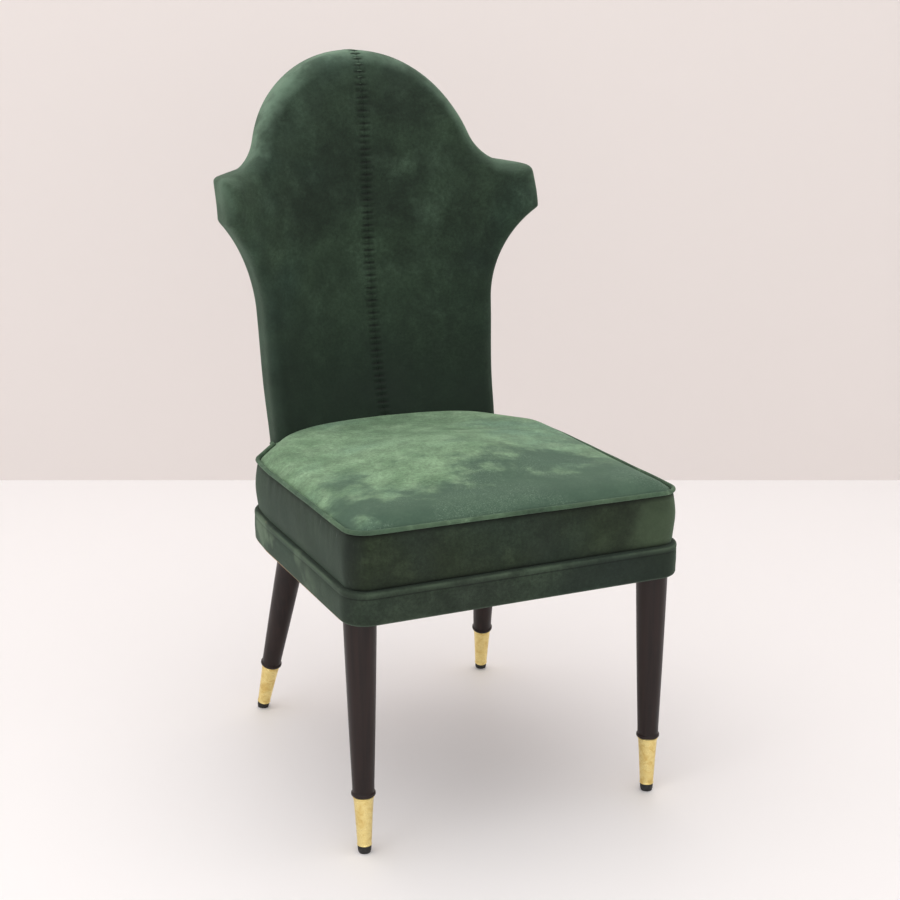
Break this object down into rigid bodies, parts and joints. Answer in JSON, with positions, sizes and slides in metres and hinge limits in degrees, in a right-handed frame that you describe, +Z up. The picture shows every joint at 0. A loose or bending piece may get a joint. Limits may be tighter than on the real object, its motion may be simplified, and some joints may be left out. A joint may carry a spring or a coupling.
{
  "type": "dining chair",
  "caption": "Armless upholstered dining chair: domed piped seat, tall wrapped back with wing corners and round arch, stitched centre seam, turned dark legs with brass ferrules.",
  "frame": {"origin": "on the floor, under the middle of the chair's outer box", "axes": "+Z up, +Y from the seat's front edge towards the back, +X to the right of a viewer facing the seat's front"},
  "size_m": [0.524, 0.6632, 1.07],
  "materials": {
    "back_hide": "brushed nubuck",
    "band_hide": "brushed nubuck",
    "batting": "fluffy",
    "boxing_hide": "brushed nubuck",
    "brass": "satin",
    "cloth": "woven",
    "foam": "open cell",
    "frame_wood": "raw",
    "leg_wood": "dark stained satin",
    "outside_hide": "brushed nubuck",
    "seat_hide": "brushed nubuck",
    "steel": "plain zinc",
    "thread": "waxed thread",
    "tip": "matt",
    "welt_hide": "brushed nubuck"
  },
  "bodies": {
    "root": {"back_bolts": "steel", "back_crest": "frame_wood", "back_dowels": "frame_wood", "back_foam": "foam", "back_lower_rail": "frame_wood", "back_post_left": "frame_wood", "back_post_right": "frame_wood", "back_shoulder_rail": "frame_wood", "back_stitching": "thread", "back_webbing": "cloth", "corner_block_front_left": "frame_wood", "corner_block_front_right": "frame_wood", "corner_block_rear_left": "frame_wood", "corner_block_rear_right": "frame_wood", "corner_block_screws": "steel", "deck_cloth": "cloth", "dust_cover": "cloth", "ferrule_front_left": "brass", "ferrule_front_right": "brass", "ferrule_rear_left": "brass", "ferrule_rear_right": "brass", "foot_tip_front_left": "tip", "foot_tip_front_right": "tip", "foot_tip_rear_left": "tip", "foot_tip_rear_right": "tip", "inside_back_left": "back_hide", "inside_back_right": "back_hide", "leg_front_left": "leg_wood", "leg_front_right": "leg_wood", "leg_hanger_bolts": "steel", "leg_insert_nuts": "steel", "leg_rear_left": "leg_wood", "leg_rear_right": "leg_wood", "outside_back": "outside_hide", "rail_cover": "band_hide", "seat_batting": "batting", "seat_boxing": "boxing_hide", "seat_foam": "foam", "seat_front_rail": "frame_wood", "seat_rear_rail": "frame_wood", "seat_side_rail_left": "frame_wood", "seat_side_rail_right": "frame_wood", "seat_spring_1": "steel", "seat_spring_2": "steel", "seat_spring_3": "steel", "seat_spring_4": "steel", "seat_spring_5": "steel", "seat_top_panel": "seat_hide", "seat_welt_cord": "thread", "seat_welt_cover": "welt_hide", "spring_clips": "steel", "spring_tie_wires": "steel", "wing_block_left": "frame_wood", "wing_block_right": "frame_wood"}
  },
  "joints": []
}
